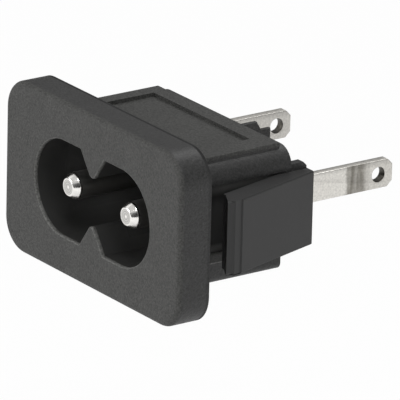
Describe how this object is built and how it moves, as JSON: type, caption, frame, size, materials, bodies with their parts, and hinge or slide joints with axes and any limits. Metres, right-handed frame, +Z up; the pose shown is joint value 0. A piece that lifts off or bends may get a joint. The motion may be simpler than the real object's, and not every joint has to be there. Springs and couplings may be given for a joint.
{
  "type": "figure-eight panel mains inlet",
  "caption": "Snap-in mains inlet for an equipment panel: flanged moulded housing with a figure-eight socket, round pin contacts, sprung side arms and riveted solder tabs split by a barrier.",
  "frame": {"origin": "middle of the flange's rear face, the plane that seats on the panel, on the middle line between the contacts", "axes": "+X along the row of contacts, +Y into the equipment, +Z up towards the sunk panel; the socket opens towards -Y"},
  "size_m": [0.0268, 0.0257, 0.0154],
  "materials": {
    "housing_plastic": "black moulded thermoplastic, finely spark-eroded on the flange and smoother on the arms",
    "plated_contact": "turned brass, bright nickel plate",
    "tinned_terminal": "stamped brass, matt tin plate with a darker band across the tab"
  },
  "bodies": {
    "root": {"housing": "housing_plastic", "contact_left": "plated_contact", "contact_right": "plated_contact", "terminal_left": "tinned_terminal", "terminal_right": "tinned_terminal"}
  },
  "joints": []
}
